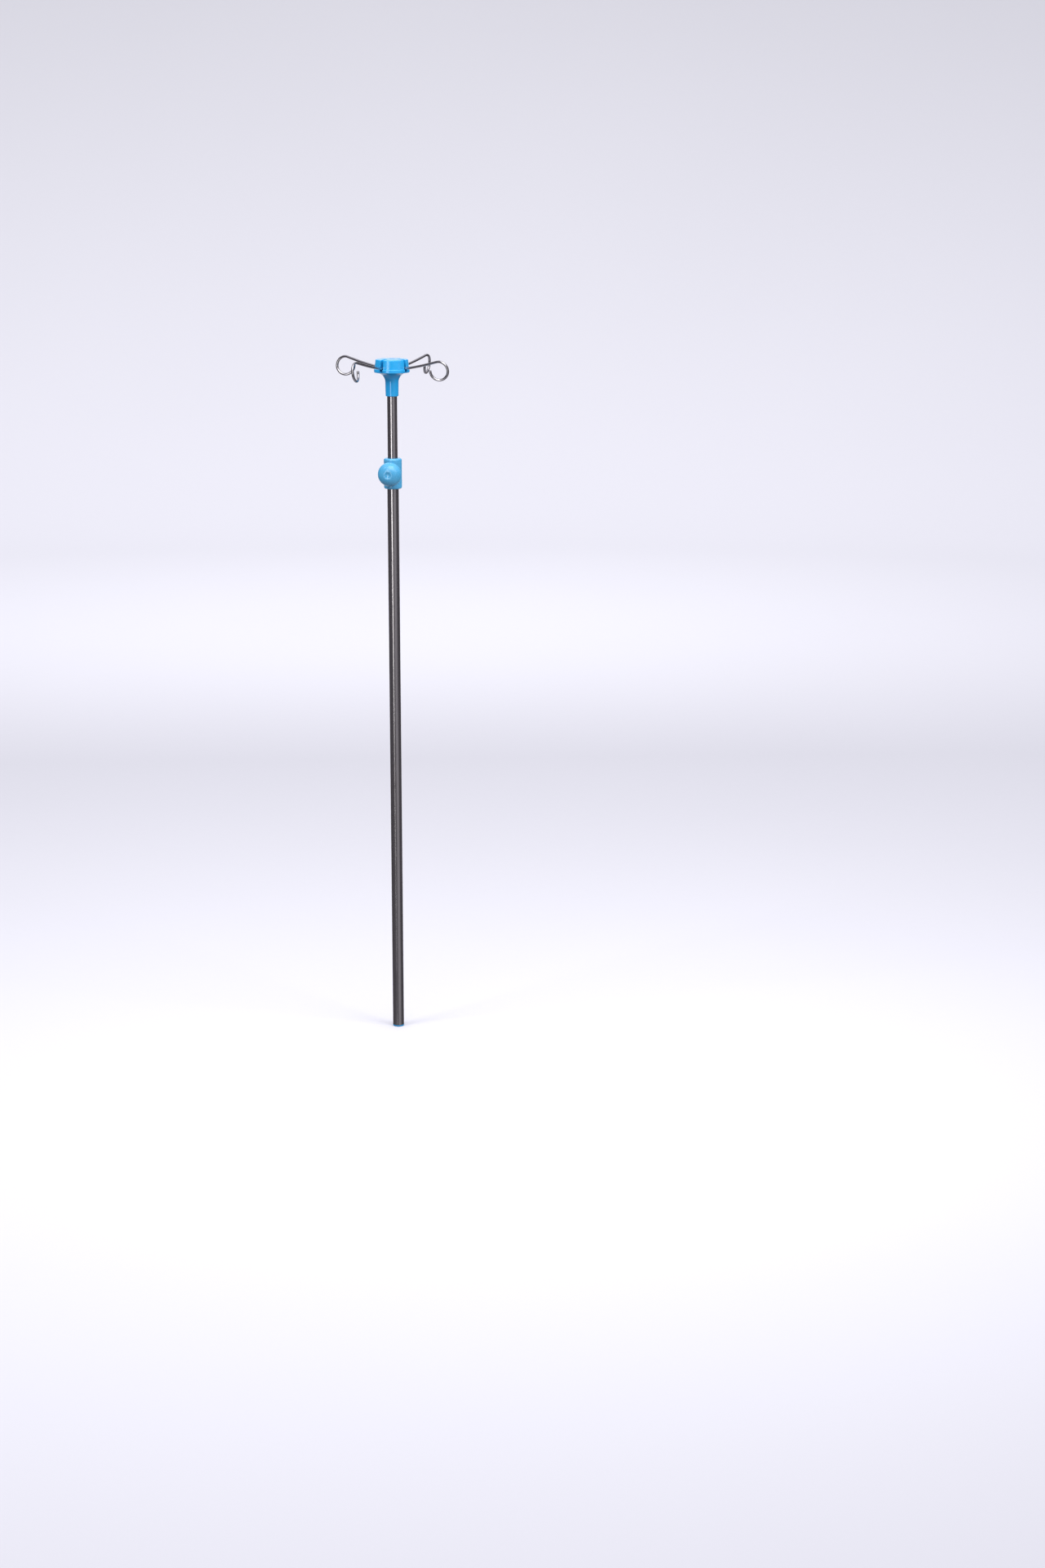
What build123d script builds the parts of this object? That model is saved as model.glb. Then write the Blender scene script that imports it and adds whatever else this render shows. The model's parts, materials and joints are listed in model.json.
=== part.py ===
from build123d import *
import math
import os

# Telescopic drip pole of an infusion chair. The lower tube plugs into the chair's socket.
# A clamp collar on its top end holds an inner tube, which slides and turns in it, and the
# inner tube carries a head with four bag hooks that fold up.
# Millimetres, +Z up. The origin is the centre of the pole's bottom face, and the hooks
# stand along +X, +Y, -X and -Y.

# Tubes
LOWER_RADIUS = 11.0
LOWER_WALL = 1.0
LOWER_TOP = 1094.5
UPPER_RADIUS = 9.5
UPPER_WALL = 0.8
UPPER_BOTTOM = 568.0
UPPER_TOP = 1288.0
BEAD_DEPTH = 0.3            # how far a rolled bead presses a tube's wall inwards
BEAD_LENGTH = 3.0
RUNNING_GAP = 0.05          # radial clearance of every fit that slides or turns
LEAD_IN = 1.0               # chamfer that leads a bush, plug or neck into or over its tube
OVERRUN = 1.0               # how far a cutter runs past the face it opens

# Bottom plug
PLUG_FLANGE = 3.0
PLUG_DEPTH = 22.0
PLUG_BORE_RADIUS = 7.0
PLUG_FLOOR = 4.0
PLUG_ROUNDING = 1.0

# Clamp collar
COLLAR_RADIUS = 17.25
COLLAR_BOTTOM = 1073.5
COLLAR_TOP = 1131.5
COLLAR_ROUNDING = 3.5
COLLAR_LIP = 1.5            # thickness of the lip over the liner
LIP_GAP = 0.35
BOSS_RADIUS = 10.5
BOSS_END = 21.0             # distance of the boss's end face from the pole's axis
BOSS_CHAMFER = 0.8
BOSS_FILLET = 2.0
CLAMP_HEIGHT = 1103.5
CLAMP_AZIMUTH = -66.4

# Clamp screw, measured outwards from the pole's axis
PAD_RADIUS = 4.5
PAD_BACK = 11.55
PAD_SOCKET_DEPTH = 1.0
PAD_PASSAGE_RADIUS = 4.7
STUD_RADIUS = 4.0
STUD_END = 36.0
NOSE_RADIUS = 2.4
NOSE_END_GAP = 0.05
NUT_ACROSS_FLATS = 13.0
NUT_START = 14.0
NUT_THICKNESS = 6.5

# Knob, measured outwards from the pole's axis
KNOB_RADIUS = 22.75
KNOB_BACK = 22.3
KNOB_RIM = 25.5
KNOB_TOP = 43.0
KNOB_BACK_RADIUS = 20.1
KNOB_DIMPLE_RADIUS = 6.5
KNOB_DIMPLE_DEPTH = 1.4
KNOB_CREST_ROUNDING = 7.0
KNOB_HOLLOW_DEPTH = 8.0
KNOB_SKIRT = 1.8
KNOB_CORE_RADIUS = 8.0
KNOB_RIBS = 6
KNOB_RIB_THICKNESS = 1.6
KNOB_RIB_RECESS = 1.5       # how far the ribs' edges stand back from the knob's back

# Guide bush on the inner tube's lower end
GUIDE_LENGTH = 40.0
GUIDE_SPIGOT = 24.0
GUIDE_BORE_RADIUS = 6.5
GUIDE_END_PLAY = 0.2
CRIMP_HEIGHT = 12.0         # of the crimp's middle above the tube's end

# Head
NECK_BOTTOM = 1249.0
NECK_BOTTOM_RADIUS = 12.25
NECK_TOP_RADIUS = 13.0
NECK_FLARE = 19.0
DRUM_BOTTOM = 1294.0
PARTING = 1301.0            # plane between hub and cover, through the hook pins' axes
FLANGE_RADIUS = 34.0
FLANGE_BEVEL = 0.6          # drop of the flange's top from the cover's foot to its rim
FLANGE_ROUNDING = 1.4
COVER_BOTTOM_RADIUS = 32.7
COVER_TOP_RADIUS = 31.0
COVER_EDGE = 1318.6
COVER_CROWN = 1320.0
COVER_ROUNDING = 2.0
CORE_HOLE_RADIUS = 6.0
CORE_HOLE_DEPTH = 13.0
CORE_HOLE_CIRCLE = 24.0
SLOT_WIDTH = 6.0
SLOT_START = 16.5
SLOT_FLOOR = 1296.2
COVER_SLOT_ROUNDING = 0.8
FLANGE_SLOT_CHAMFER = 0.6
REST_START = 26.0           # ledge in the slot that the hook's wire rests on
REST_END = 29.0
REST_TOP = 1298.9

# Bag hooks
HOOK_COUNT = 4
WIRE_RADIUS = 2.5
PIN_CIRCLE = 22.0
PIN_RADIUS = 2.0
PIN_LENGTH = 18.0
PIN_CHAMFER = 0.4
EYE_RADIUS = 4.5
EYE_THICKNESS = 4.4
SHANK_START_ANGLE = 8.2
SHANK_BEND_RADIUS = 700.0
SHANK_BEND = 7.0
LOOP_RADIUS = 17.0
LOOP_STEPS = 6
LOOP_TURN = 294.0
LOOP_LEAN = 18.0            # turn of the loop's plane about the wire where the loop starts
LOOP_FIRST_TWIST = -11.0    # turn of the plane about the wire after the first step
LOOP_LAST_TWIST = 7.0
TIP_ROUNDING = 1.8

# Screws
SMALL_SCREW_RADIUS = 2.0
SMALL_HEAD_RADIUS = 3.5
SMALL_HEAD_HEIGHT = 1.8
HEAD_GAP = 0.3              # radial gap around a sunk screw head and a clearance hole's shank
COLLAR_SCREW_HEIGHT = 1085.5
COLLAR_SCREW_TIP = 9.95
COLLAR_SCREW_SEAT = 15.5
NECK_SCREW_HEIGHT = 1262.0
NECK_SCREW_AZIMUTH = 135.0
NECK_SCREW_TIP = 7.5
NECK_SCREW_SEAT = 11.6
COVER_SCREW_RADIUS = 2.5
COVER_HEAD_RADIUS = 4.25
COVER_HEAD_HEIGHT = 3.0
COVER_SCREW_SEAT = 1314.5
COVER_SCREW_TIP = 1290.0
HEAD_ROUNDING_SHARE = 0.5
TIP_CHAMFER_SHARE = 0.4
RECESS_DEPTH_SHARE = 0.6
RECESS_WIDTH_SHARE = 0.3
RECESS_LENGTH_SHARE = 1.1

UPPER_BORE_RADIUS = UPPER_RADIUS - UPPER_WALL
LOWER_BORE_RADIUS = LOWER_RADIUS - LOWER_WALL


def turned(*outline):
    """Solid of revolution about Z from a closed outline of (radius, height) points."""
    corners = [(radius, 0, height) for radius, height in outline]
    return revolve(make_face(Polyline(*corners, close=True)), Axis.Z)


def rod(radius, low, high):
    """Round bar on Z between two heights."""
    bar = Cylinder(radius, high - low, align=(Align.CENTER, Align.CENTER, Align.MIN))
    return Pos(0, 0, low) * bar


def outward(azimuth, height):
    """Plane on the pole's axis whose normal points horizontally outwards."""
    angle = math.radians(azimuth)
    normal = (math.cos(angle), math.sin(angle), 0)
    return Plane(origin=(0, 0, height), x_dir=(0, 0, 1), z_dir=normal)


def circle_at(shape, radius, height):
    """The circular edge that passes nearest to a point with that radius and height."""
    circles = shape.edges().filter_by(GeomType.CIRCLE)
    return circles.sort_by_distance((radius, 0, height))[0]


def around(shape):
    """The shape, made for the hook on +X, turned to each hook's azimuth."""
    return [Rot(0, 0, 360 * index / HOOK_COUNT) * shape for index in range(HOOK_COUNT)]


def screw(shank_radius, head_radius, head_height, seat, tip):
    """Pan-head screw on Z with a cross recess. The head sits on the seat's height."""
    head = rod(head_radius, seat, seat + head_height)
    head = fillet(head.edges().sort_by(Axis.Z)[-1], head_height * HEAD_ROUNDING_SHARE)
    shank = rod(shank_radius, tip, seat)
    shank = chamfer(shank.edges().sort_by(Axis.Z)[0], shank_radius * TIP_CHAMFER_SHARE)
    depth = head_height * RECESS_DEPTH_SHARE
    bar = Box(
        head_radius * RECESS_LENGTH_SHARE,
        head_radius * RECESS_WIDTH_SHARE,
        depth,
        align=(Align.CENTER, Align.CENTER, Align.MAX),
    )
    recess = Pos(0, 0, seat + head_height) * (bar + Rot(0, 0, 90) * bar)
    return head + shank - recess


def small_screw(seat, tip):
    """Screw on Z of the size that holds the collar and the neck."""
    return screw(SMALL_SCREW_RADIUS, SMALL_HEAD_RADIUS, SMALL_HEAD_HEIGHT, seat, tip)


def beaded_tube(radius, wall, bottom, top, bead_middle):
    """Thin tube on Z with one rolled bead, pressed inwards all round."""
    low = bead_middle - BEAD_LENGTH / 2
    high = bead_middle + BEAD_LENGTH / 2
    outer = radius
    inner = radius - wall
    return turned(
        (inner, bottom),
        (outer, bottom),
        (outer, low),
        (outer - BEAD_DEPTH, low),
        (outer - BEAD_DEPTH, high),
        (outer, high),
        (outer, top),
        (inner, top),
        (inner, high),
        (inner - BEAD_DEPTH, high),
        (inner - BEAD_DEPTH, low),
        (inner, low),
    )


def lower_tube():
    """Outer tube. Its bead locks the collar and stops the guide bush from pulling out."""
    middle = COLLAR_BOTTOM + BEAD_LENGTH / 2
    tube = beaded_tube(LOWER_RADIUS, LOWER_WALL, PLUG_FLANGE, LOWER_TOP, middle)
    hole = rod(SMALL_SCREW_RADIUS, 0, LOWER_RADIUS + OVERRUN)
    return tube - outward(CLAMP_AZIMUTH + 180, COLLAR_SCREW_HEIGHT) * hole


def bottom_plug():
    """Plug in the lower tube's end, whose flange the pole stands on in its socket."""
    body = rod(LOWER_RADIUS, 0, PLUG_FLANGE)
    body = fillet(body.edges().sort_by(Axis.Z)[0], PLUG_ROUNDING)
    spigot = rod(LOWER_BORE_RADIUS, PLUG_FLANGE, PLUG_DEPTH)
    spigot = chamfer(spigot.edges().sort_by(Axis.Z)[-1], LEAD_IN)
    return body + spigot - rod(PLUG_BORE_RADIUS, PLUG_FLOOR, PLUG_DEPTH)


def clamp_collar():
    """Moulded collar around the joint between the tubes, with the clamp screw's boss."""
    collar = rod(COLLAR_RADIUS, COLLAR_BOTTOM, COLLAR_TOP)
    collar = fillet(collar.edges().filter_by(GeomType.CIRCLE), COLLAR_ROUNDING)
    clamp = outward(CLAMP_AZIMUTH, CLAMP_HEIGHT)
    boss = chamfer(rod(BOSS_RADIUS, 0, BOSS_END).edges().sort_by(Axis.Z)[-1], BOSS_CHAMFER)
    collar += clamp * boss
    collar = fillet(collar.edges().filter_by(GeomType.BSPLINE), BOSS_FILLET)
    collar -= rod(LOWER_RADIUS - BEAD_DEPTH, COLLAR_BOTTOM, COLLAR_BOTTOM + BEAD_LENGTH)
    collar -= rod(LOWER_RADIUS, COLLAR_BOTTOM + BEAD_LENGTH, COLLAR_TOP - COLLAR_LIP)
    collar -= rod(UPPER_RADIUS + LIP_GAP, COLLAR_TOP - COLLAR_LIP, COLLAR_TOP)
    collar -= clamp * rod(PAD_PASSAGE_RADIUS, 0, NUT_START)
    collar -= clamp * nut_blank(NUT_START, BOSS_END)
    back = outward(CLAMP_AZIMUTH + 180, COLLAR_SCREW_HEIGHT)
    collar -= back * rod(SMALL_SCREW_RADIUS, 0, COLLAR_SCREW_SEAT)
    collar -= back * rod(SMALL_HEAD_RADIUS + HEAD_GAP, COLLAR_SCREW_SEAT, COLLAR_RADIUS + OVERRUN)
    return collar


def collar_liner():
    """Nylon liner that guides the inner tube, with a window for the clamp pad."""
    liner = rod(LOWER_RADIUS, LOWER_TOP, COLLAR_TOP - COLLAR_LIP)
    liner -= rod(UPPER_RADIUS + RUNNING_GAP, LOWER_TOP, COLLAR_TOP)
    window = rod(PAD_PASSAGE_RADIUS, 0, LOWER_RADIUS + OVERRUN)
    return liner - outward(CLAMP_AZIMUTH, CLAMP_HEIGHT) * window


def nut_blank(low, high):
    """Hexagonal bar of the nut's size on Z."""
    hexagon = RegularPolygon(NUT_ACROSS_FLATS / 2, 6, major_radius=False)
    return Pos(0, 0, low) * extrude(hexagon, high - low)


def clamp_nut():
    """Nut held in the collar's boss."""
    nut = nut_blank(NUT_START, NUT_START + NUT_THICKNESS)
    nut -= rod(STUD_RADIUS + RUNNING_GAP, NUT_START, NUT_START + NUT_THICKNESS)
    return outward(CLAMP_AZIMUTH, CLAMP_HEIGHT) * nut


def collar_screw():
    """Screw that pins the collar to the lower tube, opposite the knob."""
    made = small_screw(COLLAR_SCREW_SEAT, COLLAR_SCREW_TIP)
    return outward(CLAMP_AZIMUTH + 180, COLLAR_SCREW_HEIGHT) * made


def clamp_pad():
    """Pad that the clamp screw pushes against the inner tube. Its face is hollowed to fit."""
    pad = rod(PAD_RADIUS, UPPER_RADIUS - PAD_RADIUS / 2, PAD_BACK)
    pad -= rod(NOSE_RADIUS + RUNNING_GAP, PAD_BACK - PAD_SOCKET_DEPTH, PAD_BACK)
    pad = outward(CLAMP_AZIMUTH, CLAMP_HEIGHT) * pad
    return pad - rod(UPPER_RADIUS + RUNNING_GAP, LOWER_TOP, COLLAR_TOP)


def knob_stud():
    """Threaded stud moulded into the knob, with a plain nose that turns in the pad."""
    shoulder = PAD_BACK + NOSE_END_GAP
    stud = rod(STUD_RADIUS, shoulder, STUD_END)
    stud += rod(NOSE_RADIUS, PAD_BACK - PAD_SOCKET_DEPTH + NOSE_END_GAP, shoulder)
    return outward(CLAMP_AZIMUTH, CLAMP_HEIGHT) * stud


def knob_hollow():
    """Cutter for the knob's hollow back, on Z, which leaves the core and the ribs."""
    floor = KNOB_BACK + KNOB_HOLLOW_DEPTH
    hollow = rod(KNOB_BACK_RADIUS - KNOB_SKIRT, KNOB_BACK, floor)
    hollow -= rod(KNOB_CORE_RADIUS, KNOB_BACK, floor)
    rib = Box(
        KNOB_BACK_RADIUS,
        KNOB_RIB_THICKNESS,
        KNOB_HOLLOW_DEPTH,
        align=(Align.MIN, Align.CENTER, Align.MIN),
    )
    rib = Pos(0, 0, KNOB_BACK + KNOB_RIB_RECESS) * rib
    return hollow - [Rot(0, 0, 360 * index / KNOB_RIBS) * rib for index in range(KNOB_RIBS)]


def clamp_knob():
    """Domed hand knob with a shallow dimple in its crown and a ribbed hollow behind."""
    outline = [
        Line((0, 0, KNOB_BACK), (KNOB_BACK_RADIUS, 0, KNOB_BACK)),
        TangentArc((KNOB_RADIUS, 0, KNOB_RIM), (KNOB_BACK_RADIUS, 0, KNOB_BACK), tangent=(0, 0, -1)),
        TangentArc((KNOB_RADIUS, 0, KNOB_RIM), (KNOB_DIMPLE_RADIUS, 0, KNOB_TOP), tangent=(0, 0, 1)),
        TangentArc(
            (0, 0, KNOB_TOP - KNOB_DIMPLE_DEPTH),
            (KNOB_DIMPLE_RADIUS, 0, KNOB_TOP),
            tangent=(1, 0, 0),
        ),
        Line((0, 0, KNOB_TOP - KNOB_DIMPLE_DEPTH), (0, 0, KNOB_BACK)),
    ]
    knob = revolve(make_face(outline), Axis.Z)
    crest = knob.edges().filter_by(GeomType.CIRCLE).sort_by(Axis.Z)[-1]
    knob = fillet(crest, KNOB_CREST_ROUNDING)
    knob -= knob_hollow()
    knob -= rod(STUD_RADIUS, KNOB_BACK, STUD_END)
    return outward(CLAMP_AZIMUTH, CLAMP_HEIGHT) * knob


def guide_bush():
    """Nylon bush that runs in the lower tube and carries the inner tube's lower end."""
    spigot_radius = UPPER_BORE_RADIUS - RUNNING_GAP
    guide_radius = LOWER_BORE_RADIUS - RUNNING_GAP
    groove_radius = spigot_radius - BEAD_DEPTH
    low = UPPER_BOTTOM - GUIDE_LENGTH
    shoulder = UPPER_BOTTOM - GUIDE_END_PLAY
    groove_low = UPPER_BOTTOM + CRIMP_HEIGHT - BEAD_LENGTH / 2 - GUIDE_END_PLAY
    groove_high = UPPER_BOTTOM + CRIMP_HEIGHT + BEAD_LENGTH / 2 + GUIDE_END_PLAY
    high = UPPER_BOTTOM + GUIDE_SPIGOT
    return turned(
        (GUIDE_BORE_RADIUS, low),
        (guide_radius - LEAD_IN, low),
        (guide_radius, low + LEAD_IN),
        (guide_radius, shoulder),
        (spigot_radius, shoulder),
        (spigot_radius, groove_low),
        (groove_radius, groove_low),
        (groove_radius, groove_high),
        (spigot_radius, groove_high),
        (spigot_radius, high - LEAD_IN),
        (spigot_radius - LEAD_IN, high),
        (GUIDE_BORE_RADIUS, high),
    )


def upper_tube():
    """Inner tube. Its bead is crimped into the guide bush's groove, free to turn."""
    crimp = UPPER_BOTTOM + CRIMP_HEIGHT
    tube = beaded_tube(UPPER_RADIUS, UPPER_WALL, UPPER_BOTTOM, UPPER_TOP, crimp)
    hole = rod(SMALL_SCREW_RADIUS, 0, UPPER_RADIUS + OVERRUN)
    return tube - outward(NECK_SCREW_AZIMUTH, NECK_SCREW_HEIGHT) * hole


def slot_cutter(start, end, low, high):
    """Radial slot for the hook on +X, between two radii and two heights."""
    slot = Box(end - start, SLOT_WIDTH, high - low, align=(Align.MIN, Align.CENTER, Align.MIN))
    return Pos(start, 0, low) * slot


def across_slot(radius, length):
    """Round bar that crosses the slot of the hook on +X, on the hook's pivot."""
    return Pos(PIN_CIRCLE, 0, PARTING) * Cylinder(radius, length, rotation=(90, 0, 0))


def slot_rims(shape, lowest, inner_radius):
    """Edges between the slots' walls and the outer faces, from a height and a radius on."""
    upright = [face for face in shape.faces().filter_by(GeomType.PLANE) if abs(face.normal_at().Z) < 0.01]
    edges = [edge for face in upright for edge in face.edges()]
    rims = [edge for edge in edges if edges.count(edge) == 1 and edge.center().Z > lowest]
    return [edge for edge in rims if math.hypot(edge.center().X, edge.center().Y) > inner_radius]


def pin_seat():
    """Cutter for the seat of the pin of the hook on +X."""
    return across_slot(PIN_RADIUS, PIN_LENGTH)


def hook_pin():
    """Pin of the hook on +X, clamped between hub and cover."""
    pin = across_slot(PIN_RADIUS, PIN_LENGTH)
    return chamfer(pin.edges().filter_by(GeomType.CIRCLE), PIN_CHAMFER)


def head_hub():
    """Lower half of the head: neck over the inner tube, flange with the hooks' slots."""
    hub = turned(
        (0, NECK_BOTTOM),
        (NECK_BOTTOM_RADIUS, NECK_BOTTOM),
        (NECK_TOP_RADIUS, DRUM_BOTTOM),
        (FLANGE_RADIUS, DRUM_BOTTOM),
        (FLANGE_RADIUS, PARTING - FLANGE_BEVEL),
        (COVER_BOTTOM_RADIUS, PARTING),
        (0, PARTING),
    )
    flange_edges = hub.edges().filter_by(GeomType.CIRCLE).sort_by(SortBy.RADIUS)[-2:]
    hub = fillet(flange_edges, FLANGE_ROUNDING)
    hub = fillet(circle_at(hub, NECK_TOP_RADIUS, DRUM_BOTTOM), NECK_FLARE)
    hub = chamfer(circle_at(hub, NECK_BOTTOM_RADIUS, NECK_BOTTOM), LEAD_IN)
    hub -= rod(UPPER_RADIUS, NECK_BOTTOM, UPPER_TOP)
    hub -= rod(COVER_SCREW_RADIUS, UPPER_TOP, PARTING)
    hub -= around(slot_cutter(SLOT_START, REST_START, SLOT_FLOOR, PARTING))
    hub -= around(slot_cutter(REST_START, REST_END, REST_TOP, PARTING))
    hub -= around(slot_cutter(REST_END, FLANGE_RADIUS + OVERRUN, SLOT_FLOOR, PARTING))
    hub = chamfer(slot_rims(hub, DRUM_BOTTOM, COVER_BOTTOM_RADIUS), FLANGE_SLOT_CHAMFER)
    hub -= around(pin_seat())
    side = outward(NECK_SCREW_AZIMUTH, NECK_SCREW_HEIGHT)
    hub -= side * rod(SMALL_SCREW_RADIUS, 0, NECK_SCREW_SEAT)
    hub -= side * rod(SMALL_HEAD_RADIUS + HEAD_GAP, NECK_SCREW_SEAT, NECK_TOP_RADIUS + OVERRUN)
    return hub


def head_cover():
    """Upper half of the head: a slightly domed cover that shuts the pins in."""
    outline = [
        Line((0, 0, PARTING), (COVER_BOTTOM_RADIUS, 0, PARTING)),
        Line((COVER_BOTTOM_RADIUS, 0, PARTING), (COVER_TOP_RADIUS, 0, COVER_EDGE)),
        TangentArc((0, 0, COVER_CROWN), (COVER_TOP_RADIUS, 0, COVER_EDGE), tangent=(1, 0, 0)),
        Line((0, 0, COVER_CROWN), (0, 0, PARTING)),
    ]
    cover = revolve(make_face(outline), Axis.Z)
    cover = fillet(circle_at(cover, COVER_TOP_RADIUS, COVER_EDGE), COVER_ROUNDING)
    cover -= rod(COVER_SCREW_RADIUS + HEAD_GAP, PARTING, COVER_SCREW_SEAT)
    cover -= rod(COVER_HEAD_RADIUS + HEAD_GAP, COVER_SCREW_SEAT, COVER_CROWN + OVERRUN)
    cover -= around(slot_cutter(SLOT_START, FLANGE_RADIUS, PARTING, COVER_CROWN + OVERRUN))
    cover = fillet(slot_rims(cover, PARTING + PIN_RADIUS, 0), COVER_SLOT_ROUNDING)
    cover -= around(pin_seat())
    core = Pos(CORE_HOLE_CIRCLE, 0, 0) * rod(CORE_HOLE_RADIUS, PARTING, PARTING + CORE_HOLE_DEPTH)
    return cover - around(Rot(0, 0, 180 / HOOK_COUNT) * core)


def cover_screw():
    """Screw that holds the cover and the hub together."""
    seat = COVER_SCREW_SEAT
    return screw(COVER_SCREW_RADIUS, COVER_HEAD_RADIUS, COVER_HEAD_HEIGHT, seat, COVER_SCREW_TIP)


def neck_screw():
    """Screw that holds the head on the inner tube."""
    made = small_screw(NECK_SCREW_SEAT, NECK_SCREW_TIP)
    return outward(NECK_SCREW_AZIMUTH, NECK_SCREW_HEIGHT) * made


def bend(start, tangent, normal, radius, turn):
    """One arc of wire: its edge, and the point, tangent and normal at its end."""
    centre = start + normal * radius

    def point(angle):
        return centre - normal * (radius * math.cos(angle)) + tangent * (radius * math.sin(angle))

    angle = math.radians(turn)
    edge = ThreePointArc(start, point(angle / 2), point(angle))
    end_tangent = tangent * math.cos(angle) + normal * math.sin(angle)
    end_normal = normal * math.cos(angle) - tangent * math.sin(angle)
    return edge, point(angle), end_tangent, end_normal


def hook_path():
    """Centre line of the wire of the hook on +X, from its pin to its free end."""
    slope = math.radians(SHANK_START_ANGLE)
    start = Vector(PIN_CIRCLE, 0, PARTING)
    tangent = Vector(math.cos(slope), 0, math.sin(slope))
    upward = Vector(-math.sin(slope), 0, math.cos(slope))
    shank, start, tangent, upward = bend(start, tangent, upward, SHANK_BEND_RADIUS, SHANK_BEND)
    edges = [shank]
    normal = (upward * -1).rotate(Axis((0, 0, 0), tangent), LOOP_LEAN)
    for step in range(LOOP_STEPS):
        edge, start, tangent, normal = bend(start, tangent, normal, LOOP_RADIUS, LOOP_TURN / LOOP_STEPS)
        share = step / (LOOP_STEPS - 1)
        twist = LOOP_FIRST_TWIST + (LOOP_LAST_TWIST - LOOP_FIRST_TWIST) * share
        normal = normal.rotate(Axis((0, 0, 0), tangent), twist)
        edges.append(edge)
    return edges, start


def bag_hook():
    """Hook on +X: round wire with a flattened eye at its pin and a pigtail loop."""
    edges, tip = hook_path()
    path = Wire([edge.edge() for edge in edges])
    section = Plane(origin=path @ 0, z_dir=path % 0) * Circle(WIRE_RADIUS)
    wire = sweep(section, path=path)
    end_face = wire.faces().filter_by(GeomType.PLANE).sort_by_distance(tip)[0]
    wire = fillet(end_face.edges(), TIP_ROUNDING)
    wire += across_slot(EYE_RADIUS, EYE_THICKNESS)
    return wire - across_slot(PIN_RADIUS + RUNNING_GAP, PIN_LENGTH)


def save(name, shape):
    """Write one piece to its own STEP file."""
    export_step(shape, f"parts/{name}.step")


os.makedirs("parts", exist_ok=True)
for make in (
    lower_tube,
    bottom_plug,
    clamp_collar,
    collar_liner,
    clamp_nut,
    collar_screw,
    clamp_pad,
    knob_stud,
    clamp_knob,
    guide_bush,
    upper_tube,
    head_hub,
    head_cover,
    cover_screw,
    neck_screw,
):
    save(make.__name__, make())
for make in (hook_pin, bag_hook):
    for number, piece in enumerate(around(make()), start=1):
        save(f"{make.__name__}_{number}", piece)
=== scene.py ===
import json
import math

import bmesh
import bpy
from mathutils import Matrix, Quaternion, Vector

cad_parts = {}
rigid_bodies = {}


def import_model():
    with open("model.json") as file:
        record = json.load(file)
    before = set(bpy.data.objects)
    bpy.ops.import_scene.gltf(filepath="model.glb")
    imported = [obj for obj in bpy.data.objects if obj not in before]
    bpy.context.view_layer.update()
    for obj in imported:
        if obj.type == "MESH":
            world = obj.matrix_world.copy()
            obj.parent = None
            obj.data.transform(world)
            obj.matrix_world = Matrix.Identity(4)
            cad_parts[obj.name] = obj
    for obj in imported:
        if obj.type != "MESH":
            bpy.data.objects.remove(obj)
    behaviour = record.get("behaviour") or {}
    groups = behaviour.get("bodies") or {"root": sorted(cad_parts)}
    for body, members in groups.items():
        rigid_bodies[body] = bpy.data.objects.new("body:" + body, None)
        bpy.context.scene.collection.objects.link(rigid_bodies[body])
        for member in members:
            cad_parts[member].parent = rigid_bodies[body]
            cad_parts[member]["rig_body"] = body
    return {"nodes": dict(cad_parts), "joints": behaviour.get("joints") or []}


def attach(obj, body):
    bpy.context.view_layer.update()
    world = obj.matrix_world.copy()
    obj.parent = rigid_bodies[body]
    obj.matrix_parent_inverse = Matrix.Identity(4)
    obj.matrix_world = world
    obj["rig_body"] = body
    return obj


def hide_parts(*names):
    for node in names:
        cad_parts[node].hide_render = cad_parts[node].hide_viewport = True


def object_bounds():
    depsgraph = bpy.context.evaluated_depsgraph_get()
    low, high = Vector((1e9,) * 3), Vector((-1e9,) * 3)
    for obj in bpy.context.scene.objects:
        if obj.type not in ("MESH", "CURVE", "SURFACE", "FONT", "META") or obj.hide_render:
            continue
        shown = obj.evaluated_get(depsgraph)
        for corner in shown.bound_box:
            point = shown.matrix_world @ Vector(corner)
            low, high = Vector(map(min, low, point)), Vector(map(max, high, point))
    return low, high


# Looks of a chair's telescopic drip pole: two polished tubes, a clamp collar with its knob,
# and a plastic head with four folding wire hooks. Lengths are in metres, and in millimetres
# where a comment says so.

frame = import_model()
cad_low, cad_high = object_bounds()

MM = 0.001
FULL_TURN = 2 * math.pi
ARC_STEP = math.radians(7.5)    # largest turn between two points of a rounded corner
LONG_ARC_STEP = ARC_STEP / 2    # the same for the long arcs of dome, dimple and cove
SHARP_ANGLE = math.radians(35)  # an edge that turns by more than this stays sharp
ROUND_SEGMENTS = 128            # around a piece of revolution
BORE_SEGMENTS = 64              # around a pin's bore
ON_AXIS = 1e-7                  # a ring with a smaller radius is a single vertex
POLE_AXIS = Matrix.Identity(4)


# ---------------------------------------------------------------- places from the frame

def joint_named(name):
    """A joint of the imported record."""
    return next(joint for joint in frame["joints"] if joint["name"] == name)


def clamp_axis():
    """Frame whose origin is on the pole's axis and whose Z runs out along the clamp screw."""
    joint = joint_named("knob_turn")
    outwards = Vector(joint["axis"]).normalized()
    height = joint["pos_m"][2]
    turned = Vector((0, 0, 1)).rotation_difference(outwards).to_matrix().to_4x4()
    return Matrix.Translation((0, 0, height)) @ turned


def hook_axis(number):
    """Frame on the pole's axis at the pin's height, whose X runs out along a hook."""
    joint = joint_named(f"hook_{number}_fold")
    pivot = Vector(joint["pos_m"])
    angle = math.atan2(pivot.y, pivot.x)
    return Matrix.Translation((0, 0, pivot.z)) @ Matrix.Rotation(angle, 4, "Z")


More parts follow.
